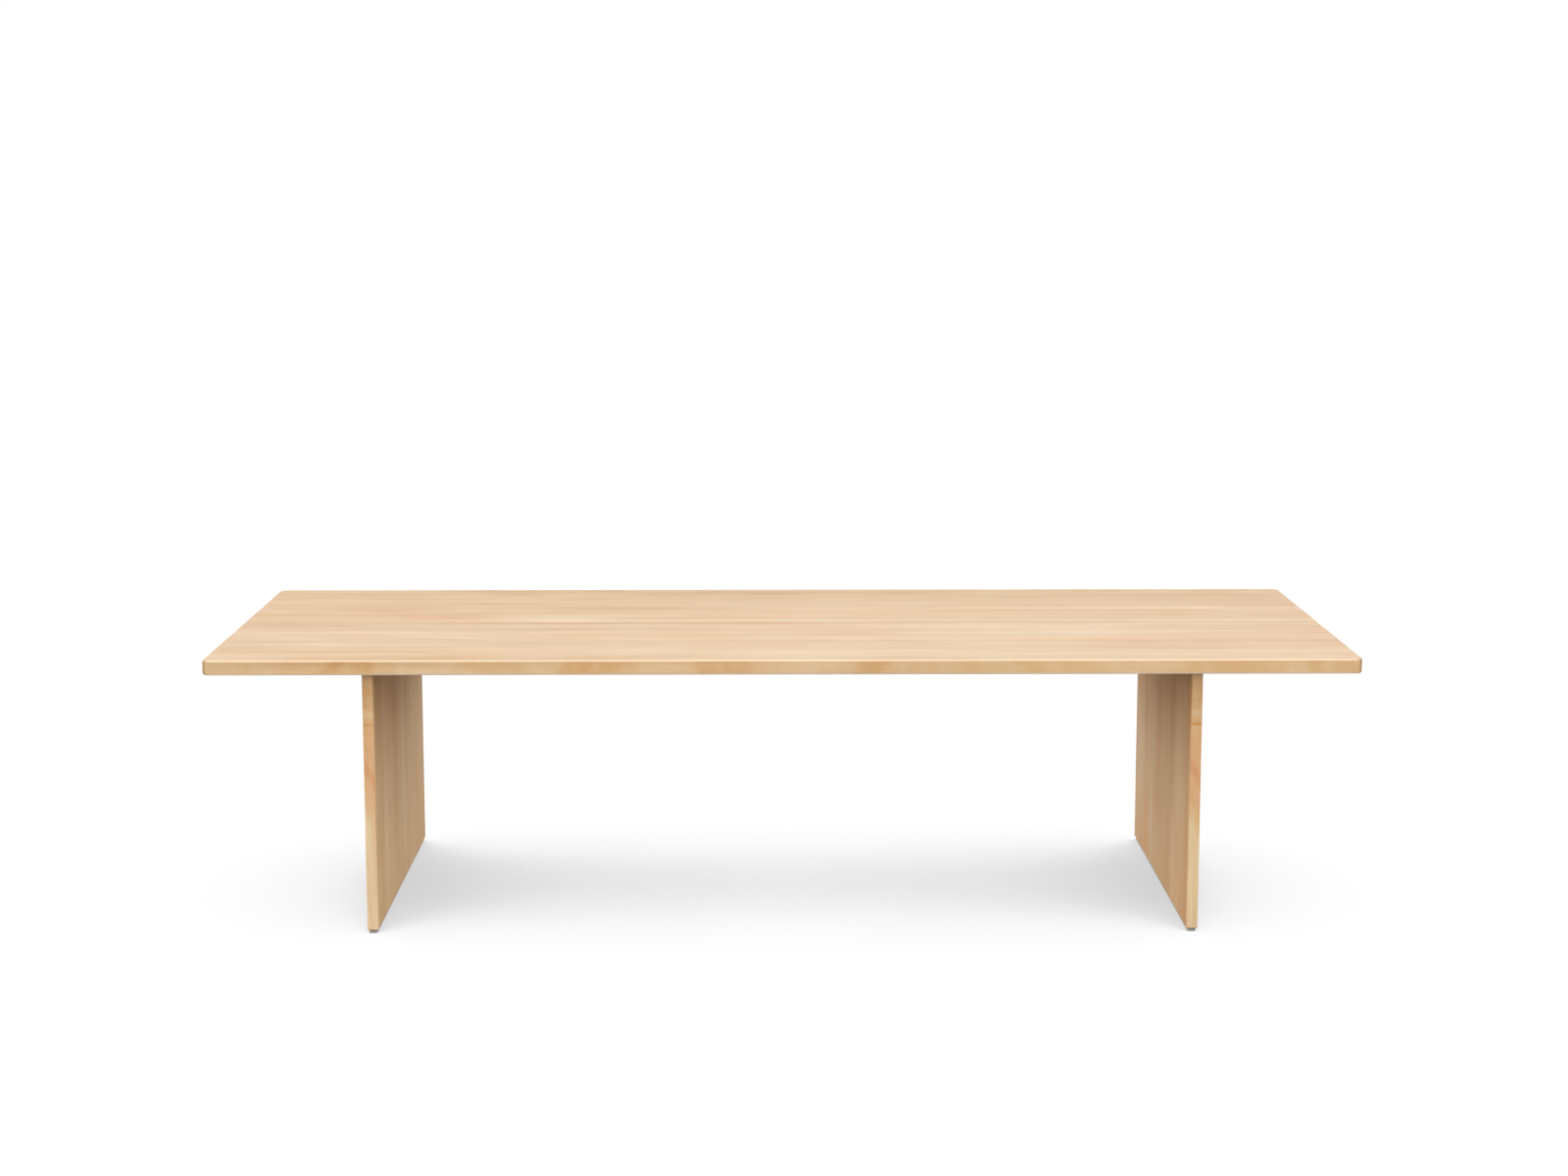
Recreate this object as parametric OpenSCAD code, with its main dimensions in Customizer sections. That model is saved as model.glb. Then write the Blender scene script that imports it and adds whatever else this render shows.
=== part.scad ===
// Long solid wood table on two slab legs.
// X runs along the length, Y from front to back and Z up.
// The origin is on the floor, under the middle of the top.

/* [Table] */
// Length of the top
table_length = 3000; // [2400:50:3600]
// Depth of the top, front to back
table_depth = 1200; // [1100:10:1300]
// Height of the top surface above the floor
table_height = 750; // [700:5:780]

/* [Top] */
// Thickness of the top
top_thickness = 40; // [36:1:50]
// Number of boards glued edge to edge in the top
top_boards = 8; // [8]
// Radius of the top's corners seen from above
corner_radius = 20; // [8:1:30]
// Radius of the top's rounded edges
top_edge_radius = 6; // [2:0.5:8]

/* [Legs] */
// Thickness of each slab leg
leg_thickness = 30; // [28:1:40]
// Setback of each leg from the end of the top
leg_overhang = 400; // [250:10:500]
// Setback of each leg from the front and back edges of the top
leg_setback = 85; // [70:5:110]
// Radius of the legs' rounded edges
leg_edge_radius = 5; // [2:0.5:5]
// Number of upright boards glued edge to edge in each leg
leg_boards = 7; // [7]

/* [Floor strips] */
// Height of the strip between the leg and the floor
strip_height = 8; // [8:0.5:12]
// Width of the strip
strip_width = 20; // [16:1:22]

/* [Leg plates] */
// Thickness of the steel plate on top of each leg
plate_thickness = 6; // [5:0.5:8]
// Width of the plate, along the table
plate_width = 110; // [100:2:140]
// Distance from each end of the plate to the leg's front or back edge
plate_setback = 50; // [45:1:60]

/* [Stiffeners] */
// Distance of each channel from the middle of the table
stiffener_offset = 380; // [300:10:500]
// Width of the channel
channel_width = 50; // [40:1:60]
// Height of the channel's flanges, web included
channel_height = 20; // [16:1:22]
// Thickness of the channel's steel
channel_wall = 4; // [3:0.5:4]
// Depth of the channel's web above the underside of the top
channel_recess = 4; // [4:0.5:5]
// Distance from each end of the channel to the edge of the top
channel_setback = 70; // [60:5:120]

/* [Hidden] */
$fn = 96;

wood = [0.90, 0.78, 0.62];
leg_wood = [0.84, 0.70, 0.52];
steel = [0.30, 0.30, 0.32];
zinc = [0.72, 0.72, 0.70];
brass = [0.78, 0.62, 0.34];
strip_grey = [0.36, 0.34, 0.32];

SIDES = ["left", "right"];
function side_sign(side) = side == "left" ? -1 : 1;

// Heights above the floor
underside_z = table_height - top_thickness;
plate_top_z = underside_z + plate_thickness;
web_bottom_z = underside_z + channel_recess;
web_top_z = web_bottom_z + channel_wall;
flange_top_z = web_bottom_z + channel_height;

// Places along the table
leg_x = table_length / 2 - leg_overhang - leg_thickness / 2;
plate_screw_spread = 36;
plate_corner_radius = 6;

// Places from front to back
leg_depth = table_depth - 2 * leg_setback;
plate_length = leg_depth - 2 * plate_setback;
channel_length = table_depth - 2 * channel_setback;
top_board_width = table_depth / top_boards;
leg_board_width = leg_depth / leg_boards;
function board_y(i, width, count) = (i - (count + 1) / 2) * width;
top_screw_rows = [for (i = [2:top_boards - 1]) board_y(i, top_board_width, top_boards)];
leg_screw_rows = [for (i = [1:leg_boards]) board_y(i, leg_board_width, leg_boards)];

// Room around the parts that are let into the wood, for its seasonal movement
pocket_gap_x = 0.5;
pocket_gap_y = 3;
overcut = 1;

// Fasteners. Threads are plain cylinders, a little smaller than their holes.
thread_gap = 0.05;
m8 = 8;
m8_head_d = 14;
m8_head_h = 4.4;
m8_shank = 26;
m8_insert_d = 12;
m8_insert_h = 22;
m8_hole = 9;
m8_key = 5;
m8_washer_d = 16;
m8_washer_h = 1.6;
m6 = 6;
m6_head_d = 10.5;
m6_head_h = 3.3;
m6_shank = 20;
m6_insert_d = 10;
m6_insert_h = 18;
m6_hole = 6.6;
m6_key = 4;
m6_sunk_d = 12;
m6_sunk_h = 3.3;
leg_screw_length = 35;
leg_insert_h = 25;
leg_hole_depth = 36;
slot_travel = 6;
bore_depth_spare = 2;
wood_screw_d = 3.5;
wood_screw_head_d = 7;
wood_screw_head_h = 2.5;
wood_screw_recess = 2;
wood_screw_length = 22;
wood_screw_key = 2.5;
wood_screw_tip = 4;
key_depth = 2;

// ---- Shapes shared by several parts ----

// A rectangle with round corners, centred on the origin
module rounded_rectangle(length, width, radius) {
    square([length - 2 * radius, width], center = true);
    square([length, width - 2 * radius], center = true);
    for (x = [-1, 1], y = [-1, 1])
        translate([x * (length / 2 - radius), y * (width / 2 - radius)]) circle(radius);
}

// The section through an edge: reach out from 0, height up from 0, outer corners rounded
module edge_section(reach, height, radius, round_top) {
    if (reach > radius) square([reach - radius, height]);
    translate([0, radius]) square([reach, height - (round_top ? 2 : 1) * radius]);
    intersection() {
        union() {
            translate([reach - radius, radius]) circle(radius);
            if (round_top) translate([reach - radius, height - radius]) circle(radius);
        }
        square([reach, height]);
    }
}

// A slab standing on z = 0, with round corners in plan and rounded edges below and, if asked, above
module rounded_slab(length, width, height, plan_radius, radius, round_top) {
    straight_x = length - 2 * plan_radius;
    straight_y = width - 2 * plan_radius;
    for (turn = [0, 180]) {
        // half of the middle, out to the long edge
        rotate([0, 0, turn]) translate([straight_x / 2, 0, 0]) rotate([90, 0, -90])
            linear_extrude(straight_x) mirror([1, 0]) edge_section(width / 2, height, radius, round_top);
        // the end between the two corners
        rotate([0, 0, turn]) translate([straight_x / 2, straight_y / 2, 0]) rotate([90, 0, 0])
            linear_extrude(straight_y) edge_section(plan_radius, height, radius, round_top);
    }
    for (x = [0, 1], y = [0, 1])
        mirror([x, 0, 0]) mirror([0, y, 0]) translate([straight_x / 2, straight_y / 2, 0])
            rotate_extrude(angle = 90) edge_section(plan_radius, height, radius, round_top);
}

// A slot along Y for a screw that has to slide as the wood moves
module slot(width, travel, height) {
    for (y = [-travel / 2, travel / 2]) translate([0, y, 0]) cylinder(d = width, h = height);
    translate([-width / 2, -travel / 2, 0]) cube([width, travel, height]);
}

// A round hole in the two middle rows, which fix the top's place, and a slot in the others
module row_hole(y, width, height) {
    translate([0, y, 0])
        if (abs(y) < top_board_width) cylinder(d = width, h = height);
        else slot(width, slot_travel, height);
}

// A button head screw that points up, with the underside of its head at z = 0
module button_screw(thread, head_d, head_h, shank, key) {
    dome_radius = (head_d * head_d / 4 + head_h * head_h) / (2 * head_h);
    difference() {
        union() {
            cylinder(d = thread - 2 * thread_gap, h = shank);
            intersection() {
                translate([0, 0, dome_radius - head_h]) sphere(dome_radius);
                translate([0, 0, -head_h]) cylinder(d = head_d, h = head_h);
            }
        }
        translate([0, 0, -head_h - overcut])
            cylinder(d = key / cos(30), h = key_depth + overcut, $fn = 6);
    }
}

// A countersunk screw that points down, with the flat of its head at z = 0
module countersunk_screw(thread, head_d, head_h, length, key, tip) {
    shank_d = thread - 2 * thread_gap;
    difference() {
        union() {
            translate([0, 0, -head_h]) cylinder(d1 = shank_d, d2 = head_d - 2 * thread_gap, h = head_h);
            translate([0, 0, tip - length]) cylinder(d = shank_d, h = length - tip);
            if (tip > 0) translate([0, 0, -length]) cylinder(d1 = 0, d2 = shank_d, h = tip);
        }
        translate([0, 0, -key_depth]) cylinder(d = key / cos(30), h = key_depth + overcut, $fn = 6);
    }
}

// The hole for a countersunk screw, from its head's flat at z = 0 down
module countersunk_hole(hole_d, head_d, head_h, depth) {
    translate([0, 0, -depth - overcut]) cylinder(d = hole_d, h = depth + overcut);
    translate([0, 0, -head_h]) cylinder(d1 = hole_d, d2 = head_d, h = head_h);
}

// A threaded insert standing on z = 0
module insert(thread, outer_d, height) {
    difference() {
        cylinder(d = outer_d - 2 * thread_gap, h = height);
        translate([0, 0, -overcut]) cylinder(d = thread, h = height + 2 * overcut);
    }
}

// ---- Places of repeated fasteners ----

module at_plate_screws(side) {
    for (x = [-1, 1], y = top_screw_rows)
        translate([side_sign(side) * leg_x + x * plate_screw_spread, y, 0]) children();
}

module at_leg_screws(side) {
    for (y = leg_screw_rows) translate([side_sign(side) * leg_x, y, 0]) children();
}

module at_stiffener_screws(side) {
    for (y = top_screw_rows) translate([side_sign(side) * stiffener_offset, y, 0]) children();
}

// ---- Table top ----

module plate_pocket(side) {
    translate([side_sign(side) * leg_x, 0, underside_z - overcut])
        linear_extrude(plate_thickness + overcut)
            square([plate_width + 2 * pocket_gap_x, plate_length + 2 * pocket_gap_y], center = true);
    at_plate_screws(side) translate([0, 0, plate_top_z - overcut])
        cylinder(d = m8_insert_d, h = m8_insert_h + bore_depth_spare + overcut);
}

module channel_pocket(side) {
    pocket_width = channel_width + 2 * pocket_gap_x;
    pocket_length = channel_length + 2 * pocket_gap_y;
    groove = channel_wall + 2 * pocket_gap_x;
    translate([side_sign(side) * stiffener_offset, 0, 0]) {
        translate([-pocket_width / 2, -pocket_length / 2, underside_z - overcut])
            cube([pocket_width, pocket_length, web_top_z - underside_z + overcut]);
        for (x = [-1, 1])
            translate([x * (pocket_width - groove) / 2 - groove / 2, -pocket_length / 2, underside_z])
                cube([groove, pocket_length, flange_top_z + pocket_gap_x - underside_z]);
    }
    at_stiffener_screws(side) translate([0, 0, web_top_z - overcut])
        cylinder(d = m6_insert_d, h = m6_insert_h + bore_depth_spare + overcut);
}

module top_board(i) {
    color(wood) difference() {
        intersection() {
            translate([0, 0, underside_z])
                rounded_slab(table_length, table_depth, top_thickness,
                             corner_radius, top_edge_radius, true);
            translate([-table_length, board_y(i - 0.5, top_board_width, top_boards), underside_z - overcut])
                cube([2 * table_length, top_board_width, top_thickness + 2 * overcut]);
        }
        for (side = SIDES) {
            plate_pocket(side);
            channel_pocket(side);
        }
    }
}

// ---- Legs ----

module leg_board(side, i) {
    color(leg_wood) difference() {
        intersection() {
            translate([side_sign(side) * leg_x, 0, strip_height])
                rounded_slab(leg_thickness, leg_depth, underside_z - strip_height,
                             leg_edge_radius, leg_edge_radius, false);
            translate([side_sign(side) * leg_x - leg_thickness,
                       board_y(i - 0.5, leg_board_width, leg_boards), 0])
                cube([2 * leg_thickness, leg_board_width, table_height]);
        }
        at_leg_screws(side) translate([0, 0, underside_z - leg_hole_depth])
            cylinder(d = m6_insert_d, h = leg_hole_depth + overcut);
        at_leg_screws(side) translate([0, 0, strip_height - overcut])
            cylinder(d = wood_screw_d, h = wood_screw_length + wood_screw_recess - strip_height + overcut);
    }
}

module leg_plate(side) {
    color(steel) difference() {
        translate([side_sign(side) * leg_x, 0, underside_z])
            linear_extrude(plate_thickness) rounded_rectangle(plate_width, plate_length, plate_corner_radius);
        for (x = [-1, 1], y = top_screw_rows)
            translate([side_sign(side) * leg_x + x * plate_screw_spread, 0, underside_z - overcut])
                row_hole(y, m8_hole, plate_thickness + 2 * overcut);
        at_leg_screws(side) translate([0, 0, plate_top_z])
            countersunk_hole(m6_hole, m6_sunk_d, m6_sunk_h, plate_thickness);
    }
}

module leg_inserts(side) {
    color(brass) at_leg_screws(side) translate([0, 0, underside_z - leg_insert_h])
        insert(m6, m6_insert_d, leg_insert_h);
}

module leg_screws(side) {
    color(zinc) at_leg_screws(side) translate([0, 0, plate_top_z])
        countersunk_screw(m6, m6_sunk_d, m6_sunk_h, leg_screw_length, m6_key, 0);
}

module top_inserts(side) {
    color(brass) at_plate_screws(side) translate([0, 0, plate_top_z])
        insert(m8, m8_insert_d, m8_insert_h);
}

module plate_washers(side) {
    color(zinc) at_plate_screws(side) translate([0, 0, underside_z - m8_washer_h])
        difference() {
            cylinder(d = m8_washer_d, h = m8_washer_h);
            translate([0, 0, -overcut]) cylinder(d = m8 + 4 * thread_gap, h = m8_washer_h + 2 * overcut);
        }
}

module plate_screws(side) {
    color(zinc) at_plate_screws(side) translate([0, 0, underside_z - m8_washer_h])
        button_screw(m8, m8_head_d, m8_head_h, m8_shank, m8_key);
}

// ---- Stiffeners ----

module stiffener(side) {
    color(steel) translate([side_sign(side) * stiffener_offset, 0, 0]) difference() {
        translate([-channel_width / 2, -channel_length / 2, web_bottom_z])
            cube([channel_width, channel_length, channel_height]);
        translate([channel_wall - channel_width / 2, -channel_length / 2 - overcut, web_top_z])
            cube([channel_width - 2 * channel_wall, channel_length + 2 * overcut, channel_height]);
        for (y = top_screw_rows) translate([0, 0, web_bottom_z - overcut])
            row_hole(y, m6_hole, channel_wall + 2 * overcut);
    }
}

module stiffener_inserts(side) {
    color(brass) at_stiffener_screws(side) translate([0, 0, web_top_z])
        insert(m6, m6_insert_d, m6_insert_h);
}

module stiffener_screws(side) {
    color(zinc) at_stiffener_screws(side) translate([0, 0, web_bottom_z])
        button_screw(m6, m6_head_d, m6_head_h, m6_shank, m6_key);
}

// ---- Floor strips ----

module floor_strip(side) {
    strip_length = leg_depth - 2 * leg_edge_radius;
    color(strip_grey) difference() {
        translate([side_sign(side) * leg_x - strip_width / 2, -strip_length / 2, 0])
            cube([strip_width, strip_length, strip_height]);
        at_leg_screws(side) translate([0, 0, wood_screw_recess]) mirror([0, 0, 1])
            countersunk_hole(wood_screw_d + 2 * thread_gap, wood_screw_head_d, wood_screw_head_h,
                             strip_height);
        at_leg_screws(side) translate([0, 0, -overcut])
            cylinder(d = wood_screw_head_d, h = wood_screw_recess + overcut);
    }
}

module floor_strip_screws(side) {
    color(zinc) at_leg_screws(side) translate([0, 0, wood_screw_recess]) mirror([0, 0, 1])
        countersunk_screw(wood_screw_d, wood_screw_head_d, wood_screw_head_h, wood_screw_length,
                          wood_screw_key, wood_screw_tip);
}

// ---- Nodes ----

for (i = [1:top_boards])
    top_board(i);

for (side = SIDES) {
    for (i = [1:leg_boards])
        leg_board(side, i);
    leg_plate(side);
    leg_inserts(side);
    leg_screws(side);
    top_inserts(side);
    plate_screws(side);
    plate_washers(side);
    stiffener(side);
    stiffener_inserts(side);
    stiffener_screws(side);
    floor_strip(side);
    floor_strip_screws(side);
}
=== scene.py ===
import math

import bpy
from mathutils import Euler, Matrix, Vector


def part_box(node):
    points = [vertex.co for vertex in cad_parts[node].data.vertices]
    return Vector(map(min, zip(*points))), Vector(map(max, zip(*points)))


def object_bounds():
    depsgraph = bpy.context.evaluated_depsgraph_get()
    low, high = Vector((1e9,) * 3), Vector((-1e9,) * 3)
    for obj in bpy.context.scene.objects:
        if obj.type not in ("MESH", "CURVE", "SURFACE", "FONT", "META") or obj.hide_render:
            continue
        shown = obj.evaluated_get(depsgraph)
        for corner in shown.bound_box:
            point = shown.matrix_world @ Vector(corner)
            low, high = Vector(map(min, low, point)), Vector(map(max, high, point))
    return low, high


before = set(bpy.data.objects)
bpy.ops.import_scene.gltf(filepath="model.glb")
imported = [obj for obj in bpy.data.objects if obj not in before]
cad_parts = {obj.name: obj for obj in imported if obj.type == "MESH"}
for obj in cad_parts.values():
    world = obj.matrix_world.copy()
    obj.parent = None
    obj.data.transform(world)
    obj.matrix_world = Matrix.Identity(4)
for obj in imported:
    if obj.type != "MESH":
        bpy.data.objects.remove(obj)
CAD_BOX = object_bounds()

# Looks of the communion table: solid wood, coated steel, zinc, brass and rubber, with a white floor,
# soft studio light and the camera. Lengths are metres in the CAD frame: the table's length runs
# along X, its front faces -Y and the floor is at Z = 0.

LOW, HIGH = CAD_BOX
CENTRE = (LOW + HIGH) / 2
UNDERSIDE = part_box("top_board_1")[0].z
FRONT = (0.0, -1.0, 0.0)
LENGTHWISE = (1.0, 0.0, 0.0)
UPWARD = (0.0, 0.0, 1.0)
WHITE = (1.0, 1.0, 1.0, 1.0)

# Camera: a long lens in front of the table, a little left of its middle and above it
CAMERA_LEFT = 0.0559
CAMERA_DISTANCE = 6.993
CAMERA_HEIGHT = 1.9995
CAMERA_PITCH = 0.1508
CAMERA_YAW = 0.0083
CAMERA_ROLL = -0.0002
CAMERA_LENS = 63.22
CAMERA_SENSOR = 36.0
CAMERA_REACH = 200.0

# Wood colours, from the palest to the darkest part of the figure
PALE_WOOD = (0.720, 0.500, 0.290)
MID_WOOD = (0.620, 0.405, 0.210)
DEEP_WOOD = (0.440, 0.255, 0.110)
# Darker end grain, which is also painted shade on the rounded corners at the ends of the top
END_GRAIN_AND_SHADE_TINT = (0.64, 0.56, 0.46)
# Amber and rose tints of the figure, which on the legs also carry painted shade under the table top
AMBER_TINT = (0.95, 0.86, 0.74)
ROSE_TINT = (0.99, 0.94, 0.95)
# Worn long edges, paler: also a painted highlight along the top's rounded long edges
WORN_AND_HIGHLIGHT_WOOD = (0.880, 0.710, 0.530)

# Metal and rubber: colours as the stops of a ramp over faint patches, and how rough they are
STEEL_TONES = [(0.3, (0.014, 0.014, 0.015)), (0.7, (0.024, 0.024, 0.025))]
RUBBED_STEEL = (0.09, 0.09, 0.095)
STEEL_ROUGHNESS = 0.42
ZINC_TONES = [(0.3, (0.56, 0.57, 0.60)), (0.7, (0.70, 0.71, 0.73))]
ZINC_ROUGHNESS = 0.24
BRASS_TONES = [(0.3, (0.66, 0.47, 0.22)), (0.7, (0.78, 0.59, 0.30))]
BRASS_ROUGHNESS = 0.26
RUBBER_TONES = [(0.35, (0.270, 0.250, 0.225)), (0.65, (0.370, 0.345, 0.310))]
RUBBER_ROUGHNESS = 0.72
DUST = (0.42, 0.40, 0.37)
DUST_HEIGHT = 0.003

# Boards from the front to the back: how much darker each is, and the growth centre of each board of
# the top as (across, through, lean along the grain)
TOP_TONES = [0.07, 0.12, 0.05, 0.11, 0.07, 0.13, 0.12, 0.14]
TOP_PITHS = [
    (-0.11, 0.09, 0.004), (0.12, -0.10, -0.005), (-0.14, -0.06, 0.006), (0.10, 0.12, 0.003),
    (0.13, -0.07, -0.004), (-0.12, 0.11, 0.005), (0.15, 0.08, -0.006), (-0.10, -0.13, 0.004),
]
# Leg boards from the front to the back: how much darker each is. All are paler than the top's boards,
# and part of that paleness is painted light that makes up for the dimmer light on the legs
LEG_TONES = [-0.04, -0.30, -0.22, -0.28, -0.22, -0.31, -0.27]

# Figure of the top, with a darker, more amber back half and a paler front half along the whole
# length (the first two rows): start and end along X, middle and reach along Y, how amber and how rose
# it is
TOP_FIGURE = [
    (-1.6, 1.6, 0.60, 0.85, 0.92, -0.8),
    (-1.6, 1.6, -0.60, 0.55, -0.30, -0.2),
    (-1.6, -0.2, 0.50, 0.60, 0.35, -0.5),
    (-1.0, 0.6, 0.54, 0.14, 0.60, 0.0),
    (-1.6, -0.80, 0.04, 0.14, 0.85, 0.0),
    (-1.6, -0.80, -0.50, 0.16, 0.90, -0.5),
    (0.85, 1.6, -0.32, 0.26, 0.50, 0.8),
    (-0.45, 0.85, -0.52, 0.20, -0.35, 0.0),
    (0.45, 1.00, -0.12, 0.14, -0.60, 0.0),
    (0.10, 0.30, -0.20, 0.06, 0.90, 0.4),
    (-1.6, -0.85, 0.125, 0.035, 1.20, 0.0),
    (-1.25, -1.02, 0.20, 0.14, 0.70, 0.0),
    (-0.95, 1.6, 0.030, 0.026, -1.30, 0.0),
    (-0.90, 0.45, -0.022, 0.028, 1.30, 0.6),
    (0.50, 1.6, 0.245, 0.028, -1.20, 0.0),
    (0.40, 1.3, 0.190, 0.024, 0.60, 0.6),
    (-1.6, -0.85, -0.355, 0.026, -1.00, 0.0),
    (0.20, 0.95, -0.080, 0.022, -0.80, 0.0),
]

# Amber patches along the front edge: start, end, strength and slant (X per Z)
EDGE_FIGURE = [
    (-1.48, -1.41, 0.28, 0.0), (-1.29, -1.25, 0.20, 0.5), (-1.19, -1.145, 1.60, -0.9),
    (-1.145, -1.11, 0.36, -0.6), (-1.11, -1.055, 1.40, -0.3), (-1.055, -1.01, 0.20, 0.3),
    (-1.00, -0.85, -0.85, 0.0), (-0.82, -0.67, 0.68, 1.2), (-0.66, -0.58, -0.50, 0.0),
    (-0.57, -0.49, 0.92, -0.7), (-0.475, -0.41, 0.96, -0.7), (-0.36, -0.26, -0.36, 0.0),
    (-0.23, -0.17, 1.04, 0.3), (-0.16, -0.09, 0.88, 0.5), (-0.06, 0.16, -0.28, 0.0),
    (0.19, 0.265, 1.12, -0.4), (0.29, 0.43, -0.28, 0.0), (0.47, 0.52, 0.28, 0.4),
    (0.61, 0.69, 0.88, 0.9), (0.72, 0.84, 0.76, 1.1), (0.86, 1.02, 0.25, 0.0),
    (1.04, 1.08, 0.72, -0.3), (1.10, 1.30, 0.75, 0.0), (1.31, 1.35, 0.20, 0.0),
    (1.355, 1.40, 1.35, 0.3), (1.42, 1.49, 0.85, 0.0),
]

# Upright bands of the legs: bottom and top, middle and reach along Y, how amber and how rose
LEFT_LEG_FIGURE = [
    (0.00, 0.80, -0.44, 0.08, 0.25, -0.5),
    (0.05, 0.50, -0.30, 0.03, -0.50, 0.4),
    (0.18, 0.50, -0.50, 0.06, 0.40, 0.0),
    (0.05, 0.60, -0.10, 0.06, 0.30, 0.8),
    (0.05, 0.45, 0.05, 0.05, -0.60, 0.0),
    (-0.10, 0.40, 0.34, 0.03, 1.30, 0.0),
    (0.05, 0.80, 0.45, 0.05, -0.60, 0.0),
]
RIGHT_LEG_FIGURE = [
    (-0.20, 1.00, 0.00, 1.20, 0.30, 0.3),
    (-0.10, 0.35, -0.46, 0.05, 0.80, 0.6),
    (0.05, 0.60, -0.30, 0.04, -0.30, 0.6),
    (0.15, 0.55, 0.03, 0.03, 0.90, 0.0),
    (0.05, 0.60, 0.15, 0.05, -0.60, 0.3),
    (-0.10, 0.50, 0.29, 0.02, 0.80, 0.0),
    (-0.10, 0.45, 0.43, 0.07, -0.80, 0.0),
]

# Light: level of the sky at each height above the horizon (sine of the elevation) all round and,
# added to it, at both ends of the table, a little more at the left and dimmed in reflections, and
# then the softbox in front
SKY_RING = [(0.0, 0.0), (0.2, 1.0), (0.45, 0.0), (0.7, 0.0), (1.0, 0.1)]
SKY_RING_STRENGTH = 3.65
SKY_ENDS = [(0.0, 0.3), (0.3, 0.5), (0.55, 1.0), (0.85, 0.0)]
SKY_ENDS_STRENGTH = 3.9
SKY_LEAN = 0.18
ENDS_DIMMED = 0.80
SOFTBOX_ELEVATION = 55.0
SOFTBOX_DISTANCE = 6.0
SOFTBOX_SIZE = (5.0, 2.6)
SOFTBOX_POWER = 106.0

# Floor: the light it throws at the table (bounce) and into reflections (mirrored), how bright the
# camera sees it (level) and how that changes from a sheltered to an open place (shade)
FLOOR_REACH = 60.0
FLOOR_BOUNCE = 0.39
FLOOR_MIRRORED = 0.15
FLOOR_LEVEL = 1.03
FLOOR_SHADE = [(0.0, 0.45), (0.32, 0.70), (0.41, 0.875), (0.62, 0.95), (0.85, 1.0)]
SHADOW_REACH = 1.2
SHADOW_SAMPLES = 16

# Wood: spacing of the growth rings, how dark plain wood is between the palest (0) and the darkest
# (1), the shine, the height of the grain and how worn the long edges are, a paleness that is also a
# painted highlight along them
RING_SPACING = 0.0032
WOOD_DEPTH = 0.42
WOOD_ROUGHNESS = 0.46
WOOD_SPECULAR = 0.35
GRAIN_HEIGHT = 0.00006
TOP_WEAR_AND_HIGHLIGHT = 0.68
LEG_WEAR_AND_HIGHLIGHT = 0.10

# Fade at each end of the top's streaks, the front edge's patches and the legs' bands
STREAK_FADE = 0.14
PATCH_FADE = 0.018
BAND_FADE = 0.08

# Legs: heights from which the wood turns more amber and more rose towards the top, painted shade
# under the table top, and up to which the foot is more amber
SHADE_AMBER_FROM = 0.30
SHADE_ROSE_FROM = 0.40
FOOT_HEIGHT = 0.16

# Front edge of each leg: heights between which the pale foot, partly paler wood and partly painted
# light, and its veins fade out and the rungs fade in, heights of the rose part, and the heights of
# the slanting flame and the dark joint line
PALE_FADE = (0.24, 0.36)
VEIN_FADE = (0.30, 0.50)
RUNG_FADE = (0.50, 0.56)
ROSE_HEIGHTS = (0.33, 0.53)
FLAME_HEIGHT = 0.430
JOINT_HEIGHT = 0.562


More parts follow.
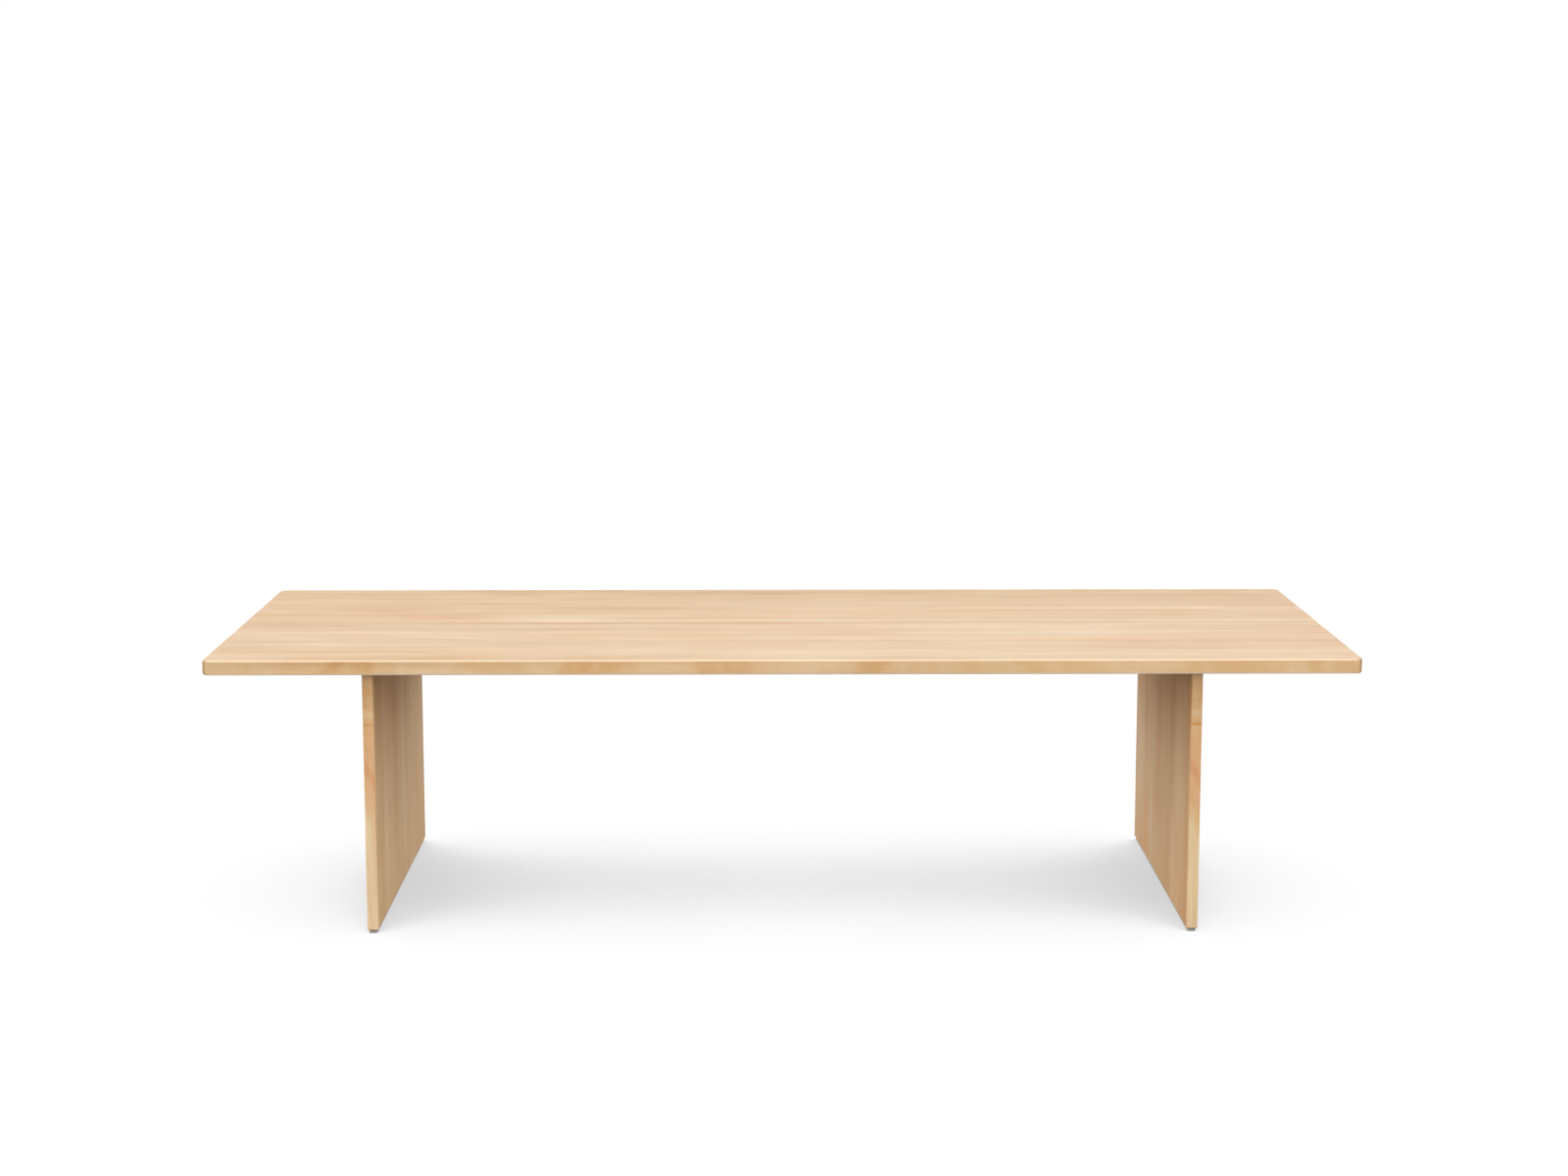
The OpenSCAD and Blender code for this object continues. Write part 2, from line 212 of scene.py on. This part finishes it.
class Graph:
    """Short calls that add linked nodes to the emptied node tree of a material or world."""

    def __init__(self, owner):
        owner.use_nodes = True
        self.owner = owner
        self.tree = owner.node_tree
        self.tree.nodes.clear()

    def node(self, kind, inputs, **settings):
        made = self.tree.nodes.new(kind)
        for key, value in settings.items():
            setattr(made, key, value)
        for key, value in inputs.items():
            self.feed(made.inputs[key], value)
        return made

    def feed(self, socket, value):
        if isinstance(value, bpy.types.NodeSocket):
            self.tree.links.new(value, socket)
        else:
            socket.default_value = value

    def math(self, operation, *values):
        return self.node("ShaderNodeMath", dict(enumerate(values)), operation=operation).outputs[0]

    def add(self, *values):
        total = values[0]
        for value in values[1:]:
            total = self.math("ADD", total, value)
        return total

    def times(self, *values):
        total = values[0]
        for value in values[1:]:
            total = self.math("MULTIPLY", total, value)
        return total

    def minus(self, a, b):
        return self.math("SUBTRACT", a, b)

    def vector(self, operation, *values):
        made = self.node("ShaderNodeVectorMath", dict(enumerate(values)), operation=operation)
        return made.outputs["Value" if operation == "DOT_PRODUCT" else "Vector"]

    def join(self, x, y, z):
        return self.node("ShaderNodeCombineXYZ", {"X": x, "Y": y, "Z": z}).outputs[0]

    def split(self, vector):
        return self.node("ShaderNodeSeparateXYZ", {"Vector": vector}).outputs

    def noise(self, place, cells, detail=2.0, roughness=0.5):
        """Noise from 0 to 1 with so many cells per metre along each axis."""
        scaled = self.vector("MULTIPLY", place, cells)
        inputs = {"Vector": scaled, "Scale": 1.0, "Detail": detail, "Roughness": roughness}
        return self.node("ShaderNodeTexNoise", inputs).outputs["Fac"]

    def wave(self, place, cells, swing, detail=2.0, roughness=0.5):
        """Noise centred on 0 that mostly stays within plus and minus swing."""
        centred = self.minus(self.noise(place, cells, detail, roughness), 0.5)
        return self.times(centred, 4.0 * swing)

    def ease(self, value, low, high):
        """A smooth step from 0 at low to 1 at high."""
        inputs = {"Value": value, "From Min": low, "From Max": high}
        return self.node("ShaderNodeMapRange", inputs, interpolation_type="SMOOTHSTEP").outputs[0]

    def hump(self, value, middle, reach):
        """A soft bump: 1 at middle, 0 from reach away on."""
        away = self.math("ABSOLUTE", self.minus(value, middle))
        return self.minus(1.0, self.ease(away, 0.0, reach))

    def span(self, value, start, end, fade):
        """1 between start and end, fading to 0 over fade at each side."""
        rise = self.ease(value, start - fade, start + fade)
        fall = self.ease(value, end - fade, end + fade)
        return self.times(rise, self.minus(1.0, fall))

    def ramp(self, value, stops):
        """The colours of the stops, blended along the value."""
        made = self.node("ShaderNodeValToRGB", {"Fac": value})
        points = made.color_ramp.elements
        while len(points) < len(stops):
            points.new(0.5)
        for point, (place, colour) in zip(points, stops):
            point.position = place
            point.color = (*colour, 1.0)
        return made.outputs["Color"]

    def grey_ramp(self, value, stops):
        """A ramp of levels in place of colours."""
        return self.ramp(value, [(place, (level, level, level)) for place, level in stops])

    def mix(self, factor, shader, other):
        """The shader where the factor is 0, and the other where it is 1."""
        return self.node("ShaderNodeMixShader", {0: factor, 1: shader, 2: other}).outputs[0]

    def shine(self, strength):
        """White light that the surface gives off evenly."""
        return self.node("ShaderNodeEmission", {"Color": WHITE, "Strength": strength}).outputs[0]

    def tint(self, colour, other, factor, blend="MIX"):
        """Mixes in the other colour; a negative factor tints the opposite way."""
        made = self.node("ShaderNodeMix", {}, data_type="RGBA", blend_type=blend, clamp_factor=False)
        self.feed(made.inputs[0], factor)
        self.feed(made.inputs[6], colour)
        self.feed(made.inputs[7], (*other, 1.0))
        return made.outputs[2]

    def place(self):
        return self.node("ShaderNodeTexCoord", {}).outputs["Object"]

    def normal(self):
        return self.node("ShaderNodeNewGeometry", {}).outputs["Normal"]

    def bump(self, height, distance, strength=1.0):
        inputs = {"Height": height, "Distance": distance, "Strength": strength}
        return self.node("ShaderNodeBump", inputs).outputs["Normal"]

    def finish(self, **inputs):
        """Adds the surface shader; underscores in the names stand for spaces."""
        named = {key.replace("_", " "): value for key, value in inputs.items()}
        shader = self.node("ShaderNodeBsdfPrincipled", named)
        output = self.node("ShaderNodeOutputMaterial", {})
        self.tree.links.new(shader.outputs[0], output.inputs["Surface"])
        return self.owner


def material_graph(name):
    """The emptied graph of a new material."""
    return Graph(bpy.data.materials.new(name))


def edge_wear(g):
    """1 on rounded edges and corners, 0 on the flat faces, from the surface's direction."""
    x, y, z = g.split(g.vector("ABSOLUTE", g.normal()))
    widest = g.math("MAXIMUM", g.math("MAXIMUM", x, y), z)
    return g.minus(1.0, g.ease(widest, 0.80, 0.97))


def facing(g, axis):
    """1 where the surface faces along the axis, 0 where it turns away."""
    return g.ease(g.vector("DOT_PRODUCT", g.normal(), axis), 0.5, 0.9)


def blended(g, value, other, factor):
    """The value where the factor is 0, and the other where it is 1."""
    return g.add(value, g.times(factor, g.minus(other, value)))


def late_wood(g, spot, along, across, through, pith):
    """How far each point is into the dark part of its growth ring, from 0 to 1."""
    pith_across, pith_through, lean = pith
    side = g.add(across, g.times(along, lean), -pith_across)
    rise = g.minus(through, pith_through)
    radius = g.math("SQRT", g.add(g.times(side, side), g.times(rise, rise)))
    count = g.add(g.times(radius, 1.0 / RING_SPACING), g.wave(spot, (0.5, 9.0, 9.0), 1.6))
    ring = g.math("FRACT", count)
    return g.times(g.ease(ring, 0.25, 0.93), g.minus(1.0, g.ease(ring, 0.93, 1.0)))


def hued(g, colour, spot, bent, amber, rose):
    """The colour with amber and rose hues, which also come and go along the board."""
    amber = g.add(amber, g.wave(bent, (1.6, 18.0, 18.0), 0.45, 3.0),
                  g.wave(bent, (3.5, 9.0, 9.0), 0.60, 3.0))
    rose = g.add(rose, g.wave(bent, (3.2, 24.0, 24.0), 0.60, 3.0),
                 g.wave(spot, (2.6, 6.0, 6.0), 0.55, 3.0))
    colour = g.tint(colour, AMBER_TINT, amber, "MULTIPLY")
    return g.tint(colour, ROSE_TINT, rose, "MULTIPLY")


def end_and_worn_highlight(g, grain_axis, wear_and_highlight_level):
    """How much of a surface is end grain, and how pale its rounded long edges are: wear and a painted
    highlight.
    """
    endwise = g.math("ABSOLUTE", g.vector("DOT_PRODUCT", g.normal(), grain_axis))
    tilt = g.split(g.vector("ABSOLUTE", g.normal()))["Z"]
    lengthwise = g.minus(1.0, g.ease(endwise, 0.05, 0.40))
    wear = g.times(g.span(tilt, 0.25, 0.93, 0.06), lengthwise, wear_and_highlight_level)
    return g.ease(endwise, 0.35, 0.75), wear


def wood(node, upright, shift, pith, tone, amber_and_rose_at):
    """Solid wood for one board: growth rings round a pith line, long streaks, fibres and pores.

    pith is the growth centre (across, through, lean along the grain) from the board's middle, and
    the last argument a function that returns how amber and how rose the wood is from (graph, x, y,
    z); for the legs that includes painted shade under the table top."""
    g = material_graph(f"wood_{node}")
    middle = middle_of(node)
    x, y, z = g.split(g.place())
    across = g.minus(y, middle.y)
    along, through = (z, g.minus(x, middle.x)) if upright else (x, g.minus(z, middle.z))
    spot = g.vector("ADD", g.join(along, across, through), shift)
    bend = g.wave(spot, (0.8, 2.0, 2.0), 0.012)
    bent = g.vector("ADD", spot, g.join(0.0, bend, 0.0))
    late = late_wood(g, spot, along, g.add(across, bend), through, pith)

    # Streaks from a hand's width down to a fibre, all long along the grain
    cloud = g.wave(bent, (0.9, 5.0, 5.0), 0.5, 2.0)
    streak = g.wave(bent, (0.55, 24.0, 24.0), 0.5, 4.0, 0.6)
    fibre = g.wave(bent, (5.0, 420.0, 420.0), 0.5, 3.0, 0.65)
    pores = g.ease(g.noise(bent, (55.0, 1500.0, 1500.0), 1.0), 0.66, 0.74)
    depth = g.add(WOOD_DEPTH + tone, g.times(cloud, 0.20), g.times(streak, 0.30),
                  g.times(late, 0.16), g.times(fibre, 0.14), g.times(pores, 0.22))
    colour = g.ramp(depth, [(0.0, PALE_WOOD), (0.5, MID_WOOD), (1.0, DEEP_WOOD)])
    amber, rose = amber_and_rose_at(g, x, y, z)
    colour = hued(g, colour, spot, bent, amber, rose)

    # End grain drinks more finish and turns darker, which on the rounded corners at the ends of the
    # top is also painted shade; long edges are worn paler and smoother, a paleness that is also a
    # painted highlight along them
    grain_axis, wear_and_highlight_level = (UPWARD, LEG_WEAR_AND_HIGHLIGHT) if upright else (LENGTHWISE, TOP_WEAR_AND_HIGHLIGHT)
    end, wear = end_and_worn_highlight(g, grain_axis, wear_and_highlight_level)
    end_marks = g.add(0.75, g.times(late, 0.5))
    colour = g.tint(colour, END_GRAIN_AND_SHADE_TINT, g.times(end, end_marks), "MULTIPLY")
    colour = g.tint(colour, WORN_AND_HIGHLIGHT_WOOD, wear)
    gloss = g.add(WOOD_ROUGHNESS, g.wave(spot, (3.0, 22.0, 22.0), 0.05), g.times(fibre, 0.05),
                  g.times(pores, 0.10), g.times(end, 0.12), g.times(wear, -0.05))
    height = g.add(g.times(fibre, 0.5), g.times(late, -0.4), g.times(pores, -1.0))
    return g.finish(Base_Color=colour, Roughness=gloss, Normal=g.bump(height, GRAIN_HEIGHT),
                    Specular_IOR_Level=WOOD_SPECULAR)


def is_front_board(node):
    """Boards are counted from the front."""
    return node.endswith("_board_1")


def with_bands(g, node, bands, along, y, fade, amber, rose):
    """Adds the listed bands that cross the board to how amber and how rose it is."""
    low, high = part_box(node)
    for start, end, middle, reach, amber_part, rose_part in bands:
        if middle + reach > low.y and middle - reach < high.y:
            band = g.times(g.span(along, start, end, fade), g.hump(y, middle, reach))
            amber = g.add(amber, g.times(band, amber_part))
            rose = g.add(rose, g.times(band, rose_part))
    return amber, rose


def top_figure(node):
    """The long streaks that cross one board of the top, the top's darker back half and paler front
    half, and the patches of the front edge.
    """

    def amber_and_rose_at(g, x, y, z):
        amber, rose = with_bands(g, node, TOP_FIGURE, x, y, STREAK_FADE, 0.0, 0.0)
        if not is_front_board(node):
            return amber, rose
        patches = edge_patches(g, x, y, z, middle_of(node).z)
        front = facing(g, FRONT)
        return blended(g, amber, patches, front), blended(g, rose, g.times(patches, -0.3), front)

    return amber_and_rose_at


def edge_patches(g, x, y, z, middle):
    """How amber the front edge of the top is: slanted patches with ragged ends."""
    spot = g.join(x, y, z)
    wobbly = g.add(x, g.wave(spot, (14.0, 30.0, 40.0), 0.016))
    patches = g.add(-0.50, g.wave(spot, (45.0, 20.0, 20.0), 0.35, 3.0))
    for start, end, strength, slant in EDGE_FIGURE:
        leaning = g.add(wobbly, g.times(g.minus(z, middle), slant))
        patches = g.add(patches, g.times(g.span(leaning, start, end, PATCH_FADE), strength))
    return patches


def leg_figure_and_shade(node, bands):
    """A leg's tone from top to bottom, with painted shade that turns it more amber and rose under the
    table top, its upright bands, and the marks of its front edge.
    """

    def amber_and_rose_at(g, x, y, z):
        # Painted shade: the wood turns more amber and more rose towards the underside of the table
        # top
        painted_shade = g.times(g.ease(z, SHADE_AMBER_FROM, UNDERSIDE), 1.25)
        foot = g.minus(1.0, g.ease(z, 0.0, FOOT_HEIGHT))
        amber = g.add(0.15, painted_shade, g.times(foot, 0.40))
        rose = g.times(g.ease(z, SHADE_ROSE_FROM, UNDERSIDE), 0.8)
        amber, rose = with_bands(g, node, bands, z, y, BAND_FADE, amber, rose)
        if not is_front_board(node):
            return amber, rose
        front_amber, front_rose = leg_front(g, x, y, z, painted_shade, middle_of(node).x)
        front = facing(g, FRONT)
        return blended(g, amber, front_amber, front), blended(g, rose, front_rose, front)

    return amber_and_rose_at


def leg_front(g, x, y, z, painted_shade, middle):
    """How amber and how rose the front edge of a leg is: pale and veined low down, partly paler wood
    and partly painted light, then a slanting flame, a dark joint line with a pale band over it, and
    rungs."""
    spot = g.join(x, y, z)
    slanted = g.add(z, g.times(g.minus(x, middle), 1.8), g.wave(spot, (60.0, 60.0, 18.0), 0.012))
    # Paler low down: partly the wood's own tone and partly painted light
    pale = g.times(g.minus(1.0, g.ease(slanted, *PALE_FADE)), -1.65)
    flame = g.hump(slanted, FLAME_HEIGHT, 0.035)
    joint = g.times(g.hump(z, JOINT_HEIGHT, 0.007), 1.6)
    above = g.times(g.hump(z, JOINT_HEIGHT + 0.028, 0.018), -1.2)
    rungs = g.times(g.wave(spot, (8.0, 8.0, 42.0), 0.5), g.ease(z, *RUNG_FADE))
    veins = g.wave(spot, (110.0, 110.0, 6.0), 0.9, 3.0)
    low_veins = g.times(veins, g.minus(1.0, g.ease(z, *VEIN_FADE)))
    # The painted shade under the table top is a little weaker on the front edge
    amber = g.add(0.75, g.times(painted_shade, -0.05), pale, joint, above, rungs, low_veins,
                  g.times(flame, 0.6))
    rose = g.add(g.times(flame, 1.5), g.times(g.span(z, *ROSE_HEIGHTS, 0.04), 1.5))
    return amber, rose


def coated_steel(name):
    """Black powder coat: a fine orange-peel surface, greyer where it is rubbed at the edges."""
    g = material_graph(name)
    spot = g.place()
    peel = g.noise(spot, (700.0, 700.0, 700.0), 2.0)
    cloud = g.noise(spot, (9.0, 9.0, 9.0), 3.0)
    wear = g.times(edge_wear(g), g.ease(g.noise(spot, (60.0, 60.0, 60.0), 3.0), 0.45, 0.6))
    colour = g.tint(g.ramp(cloud, STEEL_TONES), RUBBED_STEEL, g.times(wear, 0.7))
    rough = g.add(STEEL_ROUGHNESS, g.times(cloud, 0.12), g.times(wear, -0.08))
    return g.finish(Base_Color=colour, Roughness=rough, Normal=g.bump(peel, 0.0003, 0.5))


def plated_metal(name, tones, roughness):
    """Turned and plated metal with faint patches and fine turning marks."""
    g = material_graph(name)
    spot = g.place()
    patch = g.noise(spot, (160.0, 160.0, 160.0), 3.0)
    turned = g.noise(spot, (90.0, 90.0, 5200.0), 2.0)
    rough = g.add(roughness, g.times(patch, 0.12), g.times(turned, 0.06))
    return g.finish(Base_Color=g.ramp(patch, tones), Metallic=1.0, Roughness=rough,
                    Normal=g.bump(turned, 0.0001, 0.4))


def dark_rubber(name):
    """The matt strip under each leg: speckled, with dust along its lower edge."""
    g = material_graph(name)
    spot = g.place()
    z = g.split(spot)["Z"]
    speck = g.noise(spot, (900.0, 900.0, 900.0), 2.0)
    cloud = g.noise(spot, (12.0, 12.0, 12.0), 3.0)
    colour = g.ramp(g.add(g.times(speck, 0.5), g.times(cloud, 0.5)), RUBBER_TONES)
    dust = g.times(g.minus(1.0, g.ease(z, 0.0, DUST_HEIGHT)), g.ease(cloud, 0.4, 0.6))
    colour = g.tint(colour, DUST, g.times(dust, 0.5))
    rough = g.add(RUBBER_ROUGHNESS, g.times(cloud, 0.12))
    return g.finish(Base_Color=colour, Roughness=rough, Normal=g.bump(speck, 0.0004, 0.6))


def dress(node, material):
    """Gives every material slot of a CAD node the material."""
    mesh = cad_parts[node].data
    for index in range(len(mesh.materials)):
        mesh.materials[index] = material


def middle_of(node):
    """The middle of a node's box."""
    low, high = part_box(node)
    return (low + high) / 2


def dress_top():
    """Every board of the top gets its own wood, from its own place in the grain."""
    for index, (tone, pith) in enumerate(zip(TOP_TONES, TOP_PITHS)):
        node = f"top_board_{index + 1}"
        shift = (4.7 * index + 1.3, 2.9 * index, 1.7 * index)
        dress(node, wood(node, False, shift, pith, tone, top_figure(node)))


def dress_legs():
    """The legs' boards have their growth centres on alternate sides."""
    for side, offset, bands in (("left", 40.0, LEFT_LEG_FIGURE), ("right", 70.0, RIGHT_LEG_FIGURE)):
        for index, tone in enumerate(LEG_TONES):
            node = f"{side}_leg_board_{index + 1}"
            shift = (offset + 3.1 * index, 2.3 * index, 1.9 * index)
            across, lean = (0.12, 0.006) if index % 2 else (-0.13, -0.005)
            pith = (across, 0.08 + 0.01 * index, lean)
            dress(node, wood(node, True, shift, pith, tone, leg_figure_and_shade(node, bands)))


def dress_hardware():
    """The steel, the fasteners and the floor strips, which are alike at both legs."""
    steel = coated_steel("black_coated_steel")
    zinc = plated_metal("zinc_plate", ZINC_TONES, ZINC_ROUGHNESS)
    brass = plated_metal("brass", BRASS_TONES, BRASS_ROUGHNESS)
    rubber = dark_rubber("floor_strip_rubber")
    groups = {"leg_plate": steel, "stiffener": steel, "leg_inserts": brass, "top_inserts": brass,
              "stiffener_inserts": brass, "leg_screws": zinc, "plate_screws": zinc,
              "plate_washers": zinc, "stiffener_screws": zinc, "floor_strip_screws": zinc,
              "floor_strip": rubber}
    for side in ("left", "right"):
        for group, material in groups.items():
            dress(f"{side}_{group}", material)


def make_floor():
    """A wide white floor, clear from below so that the underside can be looked at.

    Its soft shadow is neutral grey, and it looks brighter than the light it throws back at the
    table, as an over-lit studio sweep does."""
    mesh = bpy.data.meshes.new("studio_floor")
    sides = ((-1, -1), (1, -1), (1, 1), (-1, 1))
    corners = [(FLOOR_REACH * x, FLOOR_REACH * y, LOW.z) for x, y in sides]
    mesh.from_pydata(corners, [], [(0, 1, 2, 3)])
    mesh.materials.append(floor_material())
    floor = bpy.data.objects.new("studio_floor", mesh)
    bpy.context.scene.collection.objects.link(floor)


def floor_material():
    """Shines in one tone, greyer where the table shelters it, and is clear from below."""
    g = material_graph("studio_floor")
    shelter = {"Distance": SHADOW_REACH}
    occlusion = g.node("ShaderNodeAmbientOcclusion", shelter, samples=SHADOW_SAMPLES)
    shade = g.grey_ramp(occlusion.outputs["AO"], FLOOR_SHADE)
    seen = g.shine(g.times(shade, FLOOR_LEVEL))
    path = g.node("ShaderNodeLightPath", {}).outputs
    level = g.add(FLOOR_MIRRORED, g.times(path["Is Diffuse Ray"], FLOOR_BOUNCE - FLOOR_MIRRORED))
    white = g.mix(path["Is Camera Ray"], g.shine(level), seen)
    clear = g.node("ShaderNodeBsdfTransparent", {}).outputs[0]
    back = g.node("ShaderNodeNewGeometry", {}).outputs["Backfacing"]
    g.node("ShaderNodeOutputMaterial", {"Surface": g.mix(back, white, clear)})
    g.owner.cycles.emission_sampling = "NONE"
    return g.owner


def make_light():
    """A white backdrop, a soft ring of light all round, more at both ends, and a softbox in front."""
    world = bpy.data.worlds.new("studio")
    g = Graph(world)
    direction = g.node("ShaderNodeTexCoord", {}).outputs["Generated"]
    x, _, z = g.split(direction)
    ring = g.grey_ramp(z, SKY_RING)
    ends = g.grey_ramp(z, SKY_ENDS)
    lean = g.minus(1.0, g.times(x, SKY_LEAN))
    path = g.node("ShaderNodeLightPath", {}).outputs
    dimmed = g.minus(1.0, g.times(path["Is Glossy Ray"], x, x, ENDS_DIMMED))
    level = g.add(g.times(ring, SKY_RING_STRENGTH), g.times(ends, x, x, lean, SKY_ENDS_STRENGTH))
    strength = g.times(level, dimmed)
    around = g.node("ShaderNodeBackground", {"Color": WHITE, "Strength": strength}).outputs[0]
    backdrop = g.node("ShaderNodeBackground", {"Color": WHITE}).outputs[0]
    mixed = g.mix(path["Is Camera Ray"], around, backdrop)
    g.node("ShaderNodeOutputWorld", {"Surface": mixed})
    bpy.context.scene.world = world
    elevation = math.radians(SOFTBOX_ELEVATION)
    reach = SOFTBOX_DISTANCE
    place = Vector((0.0, -reach * math.cos(elevation), CENTRE.z + reach * math.sin(elevation)))
    soft_box("front_softbox", place, SOFTBOX_SIZE, SOFTBOX_POWER)


def soft_box(name, place, size, power):
    """A rectangular lamp that is aimed at the middle of the table and isn't seen itself."""
    light = bpy.data.lights.new(name, "AREA")
    light.shape = "RECTANGLE"
    light.size, light.size_y = size
    light.energy = power
    lamp = bpy.data.objects.new(name, light)
    lamp.location = place
    lamp.rotation_euler = (CENTRE - place).to_track_quat("-Z", "Y").to_euler()
    lamp.visible_camera = False
    bpy.context.scene.collection.objects.link(lamp)


def make_camera():
    """A long lens in front of the table that looks a little down at it."""
    data = bpy.data.cameras.new("camera")
    data.lens = CAMERA_LENS
    data.sensor_width = CAMERA_SENSOR
    data.clip_end = CAMERA_REACH
    camera = bpy.data.objects.new("camera", data)
    place = Vector((CENTRE.x - CAMERA_LEFT, LOW.y - CAMERA_DISTANCE, LOW.z + CAMERA_HEIGHT))
    aim = Euler((math.pi / 2 - CAMERA_PITCH, 0.0, -CAMERA_YAW)).to_matrix()
    turned = aim @ Matrix.Rotation(CAMERA_ROLL, 3, "Z")
    camera.matrix_world = Matrix.Translation(place) @ turned.to_4x4()
    bpy.context.scene.collection.objects.link(camera)
    bpy.context.scene.camera = camera
    bpy.context.scene.view_settings.view_transform = "Standard"


make_camera()
make_light()
make_floor()
dress_top()
dress_legs()
dress_hardware()
